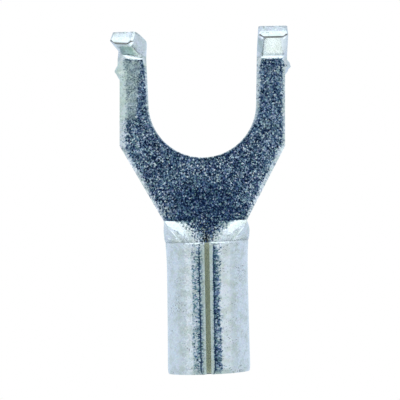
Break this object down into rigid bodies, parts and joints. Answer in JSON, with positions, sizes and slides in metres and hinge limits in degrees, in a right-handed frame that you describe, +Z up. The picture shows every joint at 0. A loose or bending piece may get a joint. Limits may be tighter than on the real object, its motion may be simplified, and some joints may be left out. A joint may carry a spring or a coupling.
{
  "type": "flanged fork terminal",
  "caption": "Uninsulated flanged fork terminal folded from tinned copper sheet: open stud slot, tine tips bent up as flanges, curled neck and rolled wire barrel with a butted seam.",
  "frame": {"origin": "centre of the stud slot's round end, on the underside of the tongue", "axes": "+Y along the part towards the tips of the fork, +Z up through the barrel's seam, +X to the right"},
  "size_m": [0.0086, 0.0163, 0.0038],
  "materials": {
    "tinned_copper": "satin"
  },
  "bodies": {
    "root": {"terminal": "tinned_copper"}
  },
  "joints": []
}
